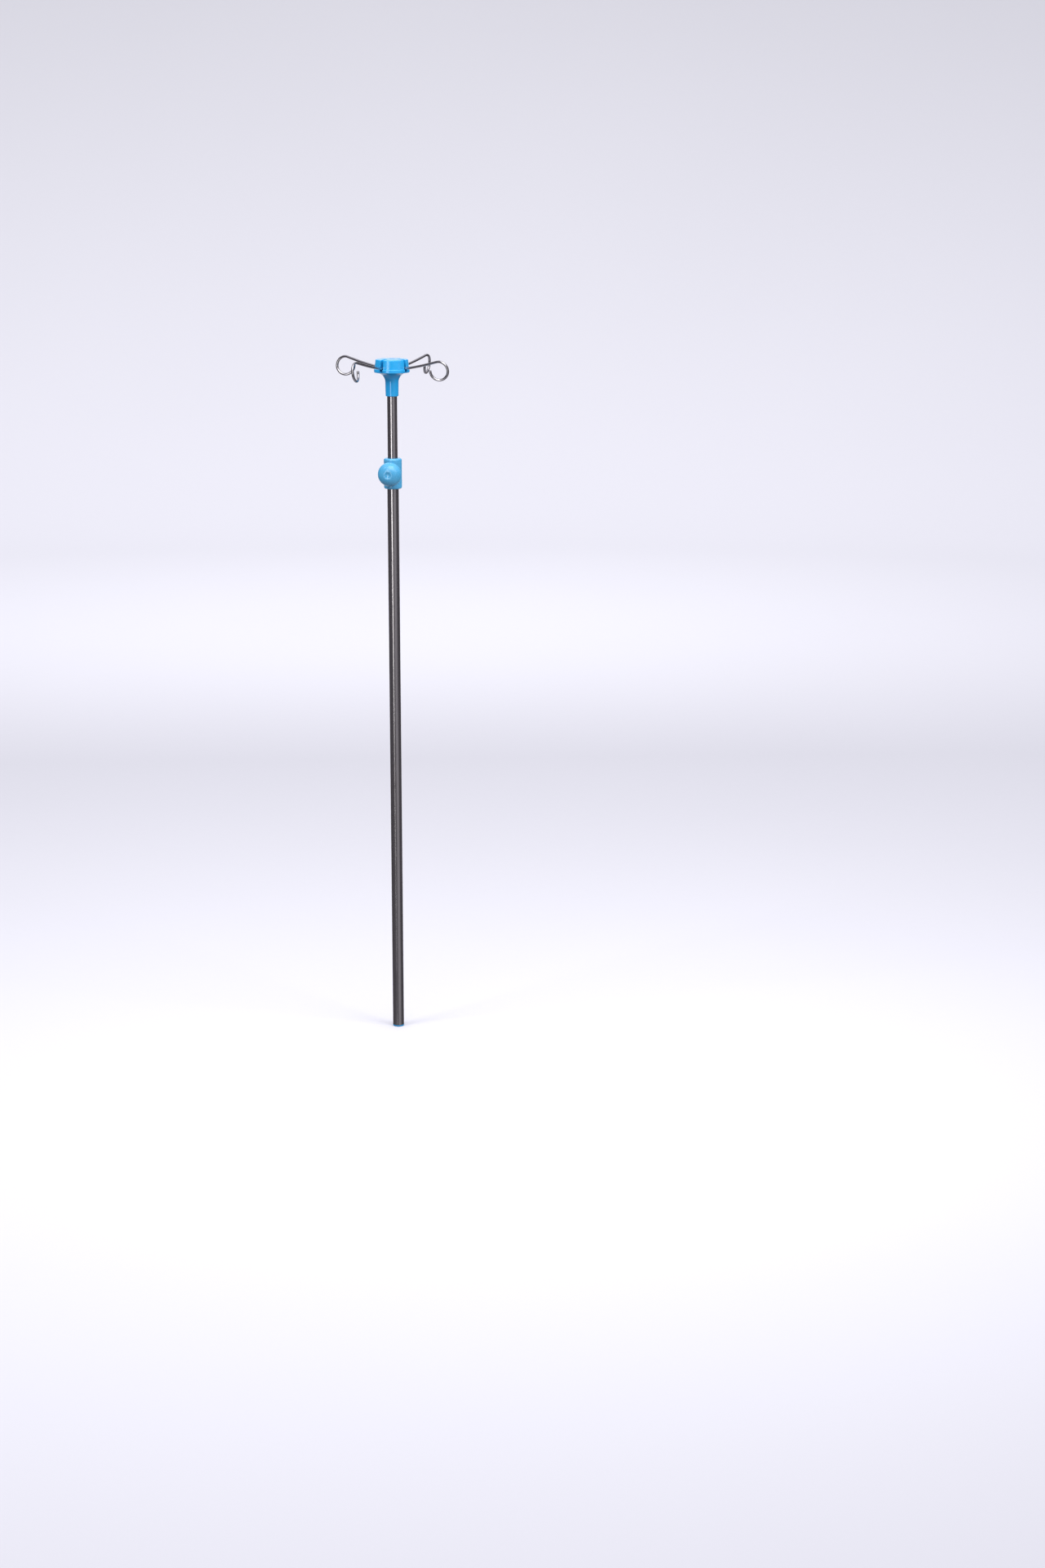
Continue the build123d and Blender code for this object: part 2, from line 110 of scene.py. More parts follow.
def extent(node, place):
    """How far a CAD node reaches along a frame's Z and its largest radius around it, in mm."""
    inverse = place.inverted()
    points = [inverse @ vertex.co for vertex in frame["nodes"][node].data.vertices]
    heights = [point.z for point in points]
    radius = max(point.xy.length for point in points)
    return min(heights) / MM, max(heights) / MM, radius / MM


# ---------------------------------------------------------------- mesh tools

def corner_arc(before, here, after, rounding):
    """Points of the arc that rounds one corner of an outline."""
    back = (before - here).normalized()
    on = (after - here).normalized()
    half = back.angle(on) / 2
    reach = rounding / math.tan(half)
    centre = here + (back + on).normalized() * (rounding / math.sin(half))
    first = here + back * reach - centre
    last = here + on * reach - centre
    sweep = math.pi - 2 * half
    side = math.copysign(1, first.cross(last))
    steps = max(2, math.ceil(sweep / ARC_STEP))
    turns = (Matrix.Rotation(side * sweep * step / steps, 2) for step in range(steps + 1))
    return [centre + turn @ first for turn in turns]


def rounded(*corners):
    """Outline of (radius, height, rounding) corners, closed, with its corners rounded."""
    points = []
    for index, (radius, height, rounding) in enumerate(corners):
        here = Vector((radius, height))
        if rounding == 0:
            points.append(here)
            continue
        before = Vector(corners[index - 1][:2])
        after = Vector(corners[(index + 1) % len(corners)][:2])
        points.extend(corner_arc(before, here, after, rounding))
    return points


def tangent_arc(start, tangent, end):
    """Points of the arc that leaves a point along a direction and passes through another."""
    start, tangent, end = Vector(start), Vector(tangent).normalized(), Vector(end)
    chord = end - start
    normal = Vector((-tangent.y, tangent.x))
    if chord.dot(normal) < 0:
        normal.negate()
    radius = chord.length_squared / (2 * chord.dot(normal))
    sweep = 2 * math.atan2(chord.dot(normal), chord.dot(tangent))
    steps = max(3, math.ceil(sweep / LONG_ARC_STEP))
    angles = [sweep * step / steps for step in range(steps + 1)]
    return [
        start + normal * (radius * (1 - math.cos(angle))) + tangent * (radius * math.sin(angle))
        for angle in angles
    ]


def metres(outline):
    """Outline in metres from one in millimetres."""
    return [Vector(point) * MM for point in outline]


def ring(form, radius, height, segments):
    """Circle of vertices about Z, or a single one where the outline meets the axis."""
    if radius < ON_AXIS:
        return [form.verts.new((0, 0, height))]
    angles = (FULL_TURN * step / segments for step in range(segments))
    return [form.verts.new((radius * math.cos(a), radius * math.sin(a), height)) for a in angles]


def bridge(form, lower, upper):
    """Faces between two rings of vertices, either of which may be a single vertex."""
    count = max(len(lower), len(upper))
    for step in range(count):
        corners = [lower[step % len(lower)], lower[(step + 1) % len(lower)]]
        corners += [upper[(step + 1) % len(upper)], upper[step % len(upper)]]
        form.faces.new(list(dict.fromkeys(corners)))


def lathe(outline, segments=ROUND_SEGMENTS, closed=True):
    """Turned form about Z. An open outline starts and ends on the axis, or stays a sheet."""
    form = bmesh.new()
    rings = [ring(form, point[0], point[1], segments) for point in outline]
    for lower, upper in zip(rings, rings[1:] + rings[:1] if closed else rings[1:]):
        bridge(form, lower, upper)
    face_outwards(form)
    return form


def face_outwards(form):
    """Turn every face of a closed form outwards."""
    bmesh.ops.recalc_face_normals(form, faces=form.faces)
    if form.calc_volume(signed=True) < 0:
        bmesh.ops.reverse_faces(form, faces=form.faces)


def smoothed(mesh):
    """The same mesh, smooth except at its sharp edges."""
    mesh.shade_smooth()
    mesh.set_sharp_from_angle(angle=SHARP_ANGLE)
    return mesh


def shaped(form, name, place=None):
    """Mesh of a finished form, moved to its place and smoothed."""
    if place is not None:
        form.transform(place)
    mesh = bpy.data.meshes.new(name)
    form.to_mesh(mesh)
    form.free()
    return smoothed(mesh)


def combined(mesh, tool, operation):
    """Smoothed result of a boolean between two closed meshes."""
    base = bpy.data.objects.new("boolean_base", mesh)
    cutter = bpy.data.objects.new("boolean_tool", tool)
    for made in (base, cutter):
        bpy.context.scene.collection.objects.link(made)
    step = base.modifiers.new("boolean", "BOOLEAN")
    step.operation = operation
    step.solver = "EXACT"
    step.object = cutter
    bpy.context.view_layer.update()
    evaluated = base.evaluated_get(bpy.context.evaluated_depsgraph_get())
    result = bpy.data.meshes.new_from_object(evaluated)
    for made in (base, cutter):
        bpy.data.objects.remove(made)
    return smoothed(result)


# ---------------------------------------------------------------- material tools

# How far a rounded edge's normal leans from its face's, as 1 less the cosine.
EDGE_START = 0.02               # where wear starts to show
EDGE_FULL = 0.25                # where it shows in full


def new_material(name):
    """Node material with its node tree and its shader."""
    material = bpy.data.materials.new(name)
    material.use_nodes = True
    return material, material.node_tree, material.node_tree.nodes["Principled BSDF"]


def new_metal(name):
    """Node material of bare metal."""
    material, tree, shader = new_material(name)
    shader.inputs["Metallic"].default_value = 1.0
    return material, tree, shader


def add_node(tree, kind, inputs=None, **settings):
    """Add a node. Inputs are named or numbered, and hold values or sockets to link."""
    made = tree.nodes.new("ShaderNode" + kind)
    for name, value in settings.items():
        setattr(made, name, value)
    for key, value in (inputs or {}).items():
        if isinstance(value, bpy.types.NodeSocket):
            tree.links.new(value, made.inputs[key])
        else:
            made.inputs[key].default_value = value
    return made


def stretched_place(tree, scale=(1.0, 1.0, 1.0)):
    """Object coordinates, scaled per axis where a scale is given."""
    place = add_node(tree, "TexCoord").outputs["Object"]
    return add_node(tree, "Mapping", {"Vector": place, "Scale": scale}).outputs["Vector"]


def noise(tree, place, scale, detail, roughness):
    """Noise from 0 to 1. Its scale is in grains a metre."""
    inputs = {"Vector": place, "Scale": scale, "Detail": detail, "Roughness": roughness}
    return add_node(tree, "TexNoise", inputs).outputs[0]


def span(tree, value, low, high, to_low, to_high):
    """Value mapped from one range to another and held there."""
    inputs = {"Value": value, "From Min": low, "From Max": high}
    inputs |= {"To Min": to_low, "To Max": to_high}
    return add_node(tree, "MapRange", inputs, clamp=True).outputs[0]


def blend(tree, factor, first, second):
    """Mix of two colours."""
    mixed = add_node(tree, "Mix", {0: factor, 6: first, 7: second}, data_type="RGBA")
    return mixed.outputs[2]


def maths(tree, operation, first, second):
    """Sum, product or other operation on two values."""
    return add_node(tree, "Math", {0: first, 1: second}, operation=operation).outputs[0]


def edge_mask(tree, radius):
    """1 along edges, where hands and neighbours rub, and 0 on open faces."""
    rounded_normal = add_node(tree, "Bevel", {"Radius": radius}, samples=4).outputs[0]
    normal = add_node(tree, "NewGeometry").outputs["Normal"]
    normals = {0: rounded_normal, 1: normal}
    likeness = add_node(tree, "VectorMath", normals, operation="DOT_PRODUCT")
    lean = maths(tree, "SUBTRACT", 1.0, likeness.outputs["Value"])
    return span(tree, lean, EDGE_START, EDGE_FULL, 0, 1)


def bump(tree, height, strength, distance, below=None):
    """Normal bumped by a height, on top of another bump where one is given."""
    inputs = {"Height": height, "Strength": strength, "Distance": distance}
    if below is not None:
        inputs["Normal"] = below
    return add_node(tree, "Bump", inputs).outputs[0]


def wire_up(tree, shader, colour, roughness, normal):
    """Link what varies over the surface to the shader."""
    tree.links.new(colour, shader.inputs["Base Color"])
    tree.links.new(roughness, shader.inputs["Roughness"])
    tree.links.new(normal, shader.inputs["Normal"])


# ---------------------------------------------------------------- materials

def tube_steel():
    """Stainless tube, polished round and round, with faint handling marks along it."""
    material, tree, shader = new_metal("polished_tube_steel")
    shader.inputs["Anisotropic"].default_value = 0.85
    shader.inputs["Anisotropic Rotation"].default_value = 0.25
    tangent = add_node(tree, "Tangent", direction_type="RADIAL", axis="Z").outputs[0]
    tree.links.new(tangent, shader.inputs["Tangent"])
    turned_lines = noise(tree, stretched_place(tree, (0.12, 0.12, 1.0)), 2600, 4, 0.6)
    drawn_lines = noise(tree, stretched_place(tree, (1.0, 1.0, 0.004)), 900, 5, 0.65)
    smudges = noise(tree, stretched_place(tree, (1.0, 1.0, 0.35)), 38, 5, 0.6)
    clean = (0.62, 0.595, 0.615, 1)
    dull = (0.52, 0.495, 0.515, 1)
    colour = blend(tree, span(tree, smudges, 0.42, 0.72, 0, 1), clean, dull)
    scratch = span(tree, drawn_lines, 0.60, 0.72, 0, 1)
    base = span(tree, smudges, 0.35, 0.75, 0.20, 0.31)
    roughness = maths(tree, "ADD", base, maths(tree, "MULTIPLY", scratch, 0.10))
    normal = bump(tree, turned_lines, 0.02, 0.00001)
    normal = bump(tree, scratch, 0.05, 0.00001, normal)
    wire_up(tree, shader, colour, roughness, normal)
    return material


def wire_steel():
    """Bright stainless wire with fine rub marks and duller edges at its ends."""
    material, tree, shader = new_metal("bright_wire_steel")
    place = stretched_place(tree)
    smudges = noise(tree, place, 90, 5, 0.6)
    marks = noise(tree, stretched_place(tree, (1.0, 1.0, 4.0)), 700, 4, 0.7)
    worn = edge_mask(tree, 0.4 * MM)
    clean = (0.60, 0.58, 0.61, 1)
    dull = (0.47, 0.455, 0.48, 1)
    colour = blend(tree, span(tree, smudges, 0.40, 0.70, 0, 1), clean, dull)
    base = span(tree, smudges, 0.35, 0.75, 0.12, 0.24)
    roughness = maths(tree, "ADD", base, maths(tree, "MULTIPLY", worn, 0.15))
    normal = bump(tree, span(tree, marks, 0.55, 0.75, 0, 1), 0.05, 0.00001)
    wire_up(tree, shader, colour, roughness, normal)
    return material


def moulded_plastic(name, clean, deep, pale, gloss):
    """Moulded plastic: slow colour drift, fine mould grain, soft ripples and paler edges."""
    material, tree, shader = new_material(name)
    place = stretched_place(tree)
    drift = noise(tree, place, 45, 3, 0.5)
    smudges = noise(tree, place, 160, 5, 0.65)
    grain = noise(tree, place, 2400, 2, 0.5)
    ripples = noise(tree, place, 120, 2, 0.4)
    worn = edge_mask(tree, 0.7 * MM)
    scuffed = maths(tree, "MULTIPLY", worn, span(tree, smudges, 0.35, 0.65, 0.25, 1))
    colour = blend(tree, span(tree, drift, 0.35, 0.65, 0, 1), clean, deep)
    colour = blend(tree, maths(tree, "MULTIPLY", scuffed, 0.35), colour, pale)
    base = span(tree, smudges, 0.30, 0.70, gloss, gloss + 0.14)
    roughness = maths(tree, "ADD", base, maths(tree, "MULTIPLY", scuffed, 0.12))
    normal = bump(tree, ripples, 0.25, 0.00015)
    normal = bump(tree, grain, 0.18, 0.00002, normal)
    shader.inputs["Specular IOR Level"].default_value = 1.0
    wire_up(tree, shader, colour, roughness, normal)
    return material


def head_plastic():
    """Azure moulding of the head and the plug."""
    return moulded_plastic(
        "azure_plastic",
        clean=(0.014, 0.315, 0.650, 1),
        deep=(0.010, 0.280, 0.600, 1),
        pale=(0.28, 0.56, 0.76, 1),
        gloss=0.12,
    )


def clamp_plastic():
    """Paler sky-blue moulding of the collar and the knob."""
    return moulded_plastic(
        "sky_blue_plastic",
        clean=(0.070, 0.350, 0.600, 1),
        deep=(0.058, 0.320, 0.560, 1),
        pale=(0.36, 0.62, 0.80, 1),
        gloss=0.20,
    )


def natural_nylon():
    """Off-white nylon of the liner and the bush, rubbed grey where they slide."""
    material, tree, shader = new_material("natural_nylon")
    place = stretched_place(tree, (1.0, 1.0, 0.2))
    rubbed = span(tree, noise(tree, place, 300, 5, 0.6), 0.5, 0.75, 0, 1)
    clean = (0.72, 0.70, 0.62, 1)
    grey = (0.45, 0.44, 0.41, 1)
    colour = blend(tree, rubbed, clean, grey)
    roughness = span(tree, rubbed, 0, 1, 0.42, 0.30)
    normal = bump(tree, noise(tree, place, 1800, 3, 0.6), 0.15, 0.00003)
    wire_up(tree, shader, colour, roughness, normal)
    return material


def plated_steel():
    """Zinc-plated steel of screws, nut, stud and pins, dull at its edges."""
    material, tree, shader = new_metal("zinc_plated_steel")
    place = stretched_place(tree)
    bloom = noise(tree, place, 500, 4, 0.6)
    worn = edge_mask(tree, 0.3 * MM)
    dark_zinc = (0.50, 0.51, 0.53, 1)
    light_zinc = (0.66, 0.66, 0.67, 1)
    bare = (0.35, 0.34, 0.33, 1)
    colour = blend(tree, bloom, dark_zinc, light_zinc)
    colour = blend(tree, maths(tree, "MULTIPLY", worn, 0.5), colour, bare)
    roughness = span(tree, bloom, 0.3, 0.7, 0.25, 0.42)
    normal = bump(tree, noise(tree, place, 2500, 3, 0.6), 0.10, 0.00002)
    wire_up(tree, shader, colour, roughness, normal)
    return material


def bare_brass():
    """Brass of the clamp pad, browned away from its rubbed face."""
    material, tree, shader = new_metal("bare_brass")
    place = stretched_place(tree)
    tarnish = noise(tree, place, 700, 4, 0.6)
    bright = (0.72, 0.50, 0.18, 1)
    brown = (0.42, 0.27, 0.10, 1)
    colour = blend(tree, span(tree, tarnish, 0.4, 0.7, 0, 1), bright, brown)
    roughness = span(tree, tarnish, 0.3, 0.7, 0.25, 0.45)
    normal = bump(tree, noise(tree, place, 2500, 3, 0.6), 0.12, 0.00002)
    wire_up(tree, shader, colour, roughness, normal)
    return material


MATERIALS = {
    "polished_stainless": tube_steel(),
    "hook_wire": wire_steel(),
    "blue_plastic": head_plastic(),
    "collar_plastic": clamp_plastic(),
    "nylon": natural_nylon(),
    "zinc_steel": plated_steel(),
    "brass": bare_brass(),
}


def finish_of(node_name):
    """Material for a CAD node's slot in the record."""
    return MATERIALS[frame["nodes"][node_name].material_slots[0].material.name]


def stand_in(mesh, node):
    """Show a finer mesh in the place of a CAD node, on the same body and material slot."""
    cad = frame["nodes"][node]
    piece = bpy.data.objects.new(f"{node}_fine", mesh)
    bpy.context.scene.collection.objects.link(piece)
    mesh.materials.clear()
    mesh.materials.append(finish_of(node))
    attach(piece, cad["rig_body"])
    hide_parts(node)


# ---------------------------------------------------------------- tubes and plug

# Sizes in millimetres.
TUBE_EDGE = 0.2                 # rounding of a deburred tube end
BEAD_DEPTH = 0.3
BEAD_LENGTH = 3.0
BEAD_SLOPE = 0.6                # height of the slope at each end of a bead
BEAD_ROUNDING = BEAD_SLOPE / 2
PLUG_FLANGE = 3.0               # height of the flange's top
PLUG_SPIGOT_RADIUS = 10.0
PLUG_BORE_RADIUS = 7.0
PLUG_FLOOR = 4.0                # height of the bottom of the plug's bore


def bead(radius, low):
    """Corners of the groove that a rolled bead makes in one face of a tube's wall."""
    high = low + BEAD_LENGTH
    return [
        (radius, low, BEAD_ROUNDING),
        (radius - BEAD_DEPTH, low + BEAD_SLOPE, BEAD_ROUNDING),
        (radius - BEAD_DEPTH, high - BEAD_SLOPE, BEAD_ROUNDING),
        (radius, high, BEAD_ROUNDING),
    ]


def tube(node_name, wall, bead_low):
    """Thin tube with deburred ends and one softly rolled bead."""
    low, high, radius = extent(node_name, POLE_AXIS)
    inner = radius - wall
    outline = rounded(
        (inner, low, TUBE_EDGE),
        (radius, low, TUBE_EDGE),
        *bead(radius, bead_low),
        (radius, high, TUBE_EDGE),
        (inner, high, TUBE_EDGE),
        *reversed(bead(inner, bead_low)),
    )
    stand_in(shaped(lathe(metres(outline)), node_name), node_name)


def bottom_plug():
    """Plug in the lower end: its flange is the foot that the pole stands on."""
    low, high, radius = extent("bottom_plug", POLE_AXIS)
    outline = rounded(
        (0, low, 0),
        (radius, low, 1.0),
        (radius, PLUG_FLANGE, 0.2),
        (PLUG_SPIGOT_RADIUS, PLUG_FLANGE, 0.2),
        (PLUG_SPIGOT_RADIUS, high, 0.8),
        (PLUG_BORE_RADIUS, high, 0.3),
        (PLUG_BORE_RADIUS, PLUG_FLOOR, 0.8),
        (0, PLUG_FLOOR, 0),
    )
    stand_in(shaped(lathe(metres(outline), closed=False), "bottom_plug"), "bottom_plug")


# ---------------------------------------------------------------- knob

# Sizes in millimetres.
KNOB_RIM_RISE = 3.2             # from the knob's back to its widest place
KNOB_BACK_INSET = 2.65
KNOB_DIMPLE_RADIUS = 6.5
KNOB_DIMPLE_DEPTH = 1.4
KNOB_CREST_ROUNDING = 7.0
KNOB_CREST_REACH = 2.4          # outline points nearer to the crest give way to its rounding
KNOB_SKIRT = 1.8                # wall round the hollow back
KNOB_HOLLOW_DEPTH = 8.0
KNOB_CORE_RADIUS = 8.0
KNOB_RIBS = 6
KNOB_RIB_THICKNESS = 1.6
KNOB_RIB_RECESS = 1.5           # from the knob's back down to the ribs
KNOB_RIB_OVERLAP = 1.0          # how far the ribs run into what they join
STUD_RADIUS = 4.0
STUD_SEAT = 13.7                # how deep the stud sits in the knob's back


def knob_outline(back, top, radius):
    """Half section of the knob: dimple, dome, rolled rim, hollow back, core and stud seat."""
    rim = back + KNOB_RIM_RISE
    crest = Vector((KNOB_DIMPLE_RADIUS, top))
    dimple = tangent_arc((0, top - KNOB_DIMPLE_DEPTH), (1, 0), crest)
    dome = tangent_arc((radius, rim), (0, 1), crest)[::-1]
    before = [point for point in dimple if (point - crest).length > KNOB_CREST_REACH]
    after = [point for point in dome if (point - crest).length > KNOB_CREST_REACH]
    crest_arc = corner_arc(before[-1], crest, after[0], KNOB_CREST_ROUNDING)
    back_radius = radius - KNOB_BACK_INSET
    back_arc = tangent_arc((radius, rim), (0, -1), (back_radius, back))[1:]
    inner = back_radius - KNOB_SKIRT
    floor = back + KNOB_HOLLOW_DEPTH
    hollow = rounded(
        (back_radius, back, 0),
        (inner, back, 0.4),
        (inner, floor, 1.0),
        (KNOB_CORE_RADIUS, floor, 1.0),
        (KNOB_CORE_RADIUS, back, 0.4),
        (STUD_RADIUS, back, 0.3),
        (STUD_RADIUS, back + STUD_SEAT, 0),
        (0, back + STUD_SEAT, 0),
    )[1:]
    return before + crest_arc + after + back_arc + hollow


def knob_ribs(back, radius):
    """Radial ribs in the knob's hollow."""
    form = bmesh.new()
    inner = (KNOB_CORE_RADIUS - KNOB_RIB_OVERLAP) * MM
    outer = (radius - KNOB_BACK_INSET - KNOB_SKIRT + KNOB_RIB_OVERLAP) * MM
    low = (back + KNOB_RIB_RECESS) * MM
    high = (back + KNOB_HOLLOW_DEPTH + KNOB_RIB_OVERLAP) * MM
    size = Matrix.Diagonal((outer - inner, KNOB_RIB_THICKNESS * MM, high - low, 1))
    centre = Matrix.Translation(((outer + inner) / 2, 0, (low + high) / 2))
    for index in range(KNOB_RIBS):
        turn = Matrix.Rotation(FULL_TURN * index / KNOB_RIBS, 4, "Z")
        bmesh.ops.create_cube(form, size=1, matrix=turn @ centre @ size)
    return form


def clamp_knob():
    """Domed hand knob with a dimple in its crown."""
    place = clamp_axis()
    back, top, radius = extent("clamp_knob", place)
    outline = metres(knob_outline(back, top, radius))
    body = shaped(lathe(outline, closed=False), "clamp_knob", place)
    ribs = shaped(knob_ribs(back, radius), "clamp_knob_ribs", place)
    stand_in(combined(body, ribs, "UNION"), "clamp_knob")


# ---------------------------------------------------------------- bag hooks

# Sizes in millimetres and degrees.
WIRE_RADIUS = 2.5
PIN_CIRCLE = 22.0               # radius of the circle that the hooks' pins stand on
PIN_BORE_RADIUS = 2.05
PIN_BORE_REACH = 4.0            # past both sides of the eye
EYE_RADIUS = 4.5
EYE_HALF_WIDTH = 2.2
ROUND = 2                       # squareness of a round section
EYE_SQUARENESS = 7
EYE_END = 3.0                   # where the flattened eye starts to turn into round wire
WIRE_START = 9.0                # where the wire is round
SHANK_START_ANGLE = 8.2         # rise of the shank at its pin
SHANK_BEND_RADIUS = 700.0
SHANK_BEND = 7.0
LOOP_RADIUS = 17.0
LOOP_STEPS = 6
LOOP_TURN = 294.0
LOOP_LEAN = 18.0                # turn of the loop's plane about the wire where the loop starts
LOOP_FIRST_TWIST = -11.0        # turn of the plane about the wire after the first step
LOOP_LAST_TWIST = 7.0
TIP_ROUNDING = 1.8
WIRE_SEGMENTS = 32
WIRE_STEP = 1.2                 # spacing of the wire's rings
EYE_STEPS = 12                  # rings from the pin to the front of the eye
EYE_BACK_ANGLES = range(84, 0, -12)
TIP_ANGLES = range(0, 91, 15)


class Wire:
    """Centre line of a bent wire: rings as (place along it, centre, tangent)."""

    def __init__(self, centre, tangent, normal):
        self.length = 0.0
        self.centre, self.tangent, self.normal = centre, tangent, normal
        self.rings = [(0.0, centre, tangent)]

    def bend(self, radius, turn):
        """Bend towards the normal."""
        angle = math.radians(turn)
        steps = math.ceil(radius * angle / WIRE_STEP)
        start, ahead, across = self.centre, self.tangent, self.normal
        for step in range(1, steps + 1):
            part = angle * step / steps
            aside = across * (radius * (1 - math.cos(part)))
            self.centre = start + aside + ahead * (radius * math.sin(part))
            self.tangent = ahead * math.cos(part) + across * math.sin(part)
            self.normal = across * math.cos(part) - ahead * math.sin(part)
            self.length += radius * angle / steps
            self.rings.append((self.length, self.centre, self.tangent))

    def twist(self, turn):
        """Turn the plane of the next bend about the wire."""
        self.normal = Matrix.Rotation(math.radians(turn), 3, self.tangent) @ self.normal


def hook_line(pin_height):
    """Centre line of the hook on +X, from its pin to its free end."""
    slope = math.radians(SHANK_START_ANGLE)
    tangent = Vector((math.cos(slope), 0, math.sin(slope)))
    upward = Vector((-math.sin(slope), 0, math.cos(slope)))
    line = Wire(Vector((PIN_CIRCLE, 0, pin_height)), tangent, upward)
    line.bend(SHANK_BEND_RADIUS, SHANK_BEND)
    line.normal.negate()
    line.twist(LOOP_LEAN)
    for step in range(LOOP_STEPS):
        line.bend(LOOP_RADIUS, LOOP_TURN / LOOP_STEPS)
        share = step / (LOOP_STEPS - 1)
        line.twist(LOOP_FIRST_TWIST + (LOOP_LAST_TWIST - LOOP_FIRST_TWIST) * share)
    return line


def wire_section(place, length):
    """Half height, half width and squareness of the hook's section at a place along it."""
    eye = math.sqrt(max(EYE_RADIUS**2 - place**2, 0))
    if place < 0:
        return eye, EYE_HALF_WIDTH, EYE_SQUARENESS
    share = min(max((place - EYE_END) / (WIRE_START - EYE_END), 0), 1)
    share = share * share * (3 - 2 * share)
    half_width = EYE_HALF_WIDTH + (WIRE_RADIUS - EYE_HALF_WIDTH) * share
    squareness = EYE_SQUARENESS + (ROUND - EYE_SQUARENESS) * share
    from_end = length - place
    if from_end < TIP_ROUNDING:
        drop = TIP_ROUNDING - math.sqrt(TIP_ROUNDING**2 - (TIP_ROUNDING - from_end) ** 2)
        return WIRE_RADIUS - drop, WIRE_RADIUS - drop, ROUND
    return max(eye, WIRE_RADIUS), half_width, squareness


def squared_circle(half_height, half_width, squareness):
    """Points of a closed curve: a circle at 2, and nearer a rectangle the higher above it."""
    points = []
    for step in range(WIRE_SEGMENTS):
        angle = FULL_TURN * step / WIRE_SEGMENTS
        across, up = math.cos(angle), math.sin(angle)
        reach = (abs(across) ** squareness + abs(up) ** squareness) ** (1 / squareness)
        points.append((half_width * across / reach, half_height * up / reach))
    return points


def hook_rings(line):
    """Rings of the hook, with the rounded back of its eye before them and its tip after."""
    _, pin, ahead = line.rings[0]
    places = [-EYE_RADIUS * math.sin(math.radians(angle)) for angle in EYE_BACK_ANGLES]
    places += [EYE_RADIUS * step / EYE_STEPS for step in range(EYE_STEPS)]
    rings = [(place, pin + ahead * place, ahead) for place in places]
    tip_start = line.length - TIP_ROUNDING
    rings += [wire_ring for wire_ring in line.rings if EYE_RADIUS <= wire_ring[0] < tip_start]
    for angle in TIP_ANGLES:
        place = line.length - TIP_ROUNDING * (1 - math.sin(math.radians(angle)))
        rings.append((place, line.centre + line.tangent * (place - line.length), line.tangent))
    return rings


def hook_form(pin_height):
    """Wire hook on +X: its eye and its round wire as one skin."""
    line = hook_line(pin_height)
    form = bmesh.new()
    skins = []
    side = Vector((0, 1, 0))
    for place, centre, tangent in hook_rings(line):
        side = (side - tangent * side.dot(tangent)).normalized()
        up = tangent.cross(side)
        section = squared_circle(*wire_section(place, line.length))
        points = [(centre + side * across + up * rise) * MM for across, rise in section]
        skins.append([form.verts.new(point) for point in points])
    for lower, upper in zip(skins, skins[1:]):
        bridge(form, lower, upper)
    form.faces.new(skins[0])
    form.faces.new(skins[-1])
    face_outwards(form)
    return form


def bag_hook(number):
    """Folding hook with its pin's bore through its eye."""
    place = hook_axis(number)
    node_name = f"bag_hook_{number}"
    level = Matrix.Translation((0, 0, -place.translation.z))
    wire = shaped(hook_form(place.translation.z / MM), node_name, place @ level)
    bore_outline = [
        (0, -PIN_BORE_REACH),
        (PIN_BORE_RADIUS, -PIN_BORE_REACH),
        (PIN_BORE_RADIUS, PIN_BORE_REACH),
        (0, PIN_BORE_REACH),
    ]
    across = Matrix.Translation((PIN_CIRCLE * MM, 0, 0)) @ Matrix.Rotation(math.pi / 2, 4, "X")
    bore = lathe(metres(bore_outline), BORE_SEGMENTS, closed=False)
    stand_in(combined(wire, shaped(bore, "bore", place @ across), "DIFFERENCE"), node_name)


# ---------------------------------------------------------------- pieces

# Sizes in millimetres: the tubes' walls, and the height of each bead's lower edge.
LOWER_WALL = 1.0
UPPER_WALL = 0.8
LOWER_BEAD = 1073.5
UPPER_BEAD = 578.5

tube("lower_tube", LOWER_WALL, LOWER_BEAD)
tube("upper_tube", UPPER_WALL, UPPER_BEAD)
bottom_plug()
clamp_knob()
for hook_number in range(1, 5):
    bag_hook(hook_number)
for node_name, cad_node in frame["nodes"].items():
    cad_node.material_slots[0].material = finish_of(node_name)


# ---------------------------------------------------------------- stage, light and camera

FLOOR_RADIUS = 6.5
WALL_RADIUS = 9.0
WALL_TOP = 5.0


def pale_paper():
    """Matt lavender-white paper of floor and backdrop."""
    material, tree, shader = new_material("pale_paper")
    place = stretched_place(tree)
    clouds = noise(tree, place, 0.6, 3, 0.5)
    colour = blend(tree, clouds, (0.710, 0.703, 0.745, 1), (0.730, 0.723, 0.765, 1))
    roughness = span(tree, noise(tree, place, 40, 3, 0.5), 0.3, 0.7, 0.75, 0.9)
    normal = bump(tree, noise(tree, place, 900, 3, 0.6), 0.05, 0.0001)
    wire_up(tree, shader, colour, roughness, normal)
    return material


def studio_bowl():
    """Seamless floor and wall for the camera alone. Gloss and soft light come from the world."""
    cove = tangent_arc((FLOOR_RADIUS, 0), (1, 0), (WALL_RADIUS, WALL_RADIUS - FLOOR_RADIUS))
    outline = [Vector((0, 0)), *cove, Vector((WALL_RADIUS, WALL_TOP))]
    mesh = shaped(lathe(outline, closed=False), "studio_bowl")
    bowl = bpy.data.objects.new("studio_bowl", mesh)
    bpy.context.scene.collection.objects.link(bowl)
    mesh.materials.append(pale_paper())
    bowl.visible_glossy = False
    bowl.visible_diffuse = False
    bowl.visible_shadow = False


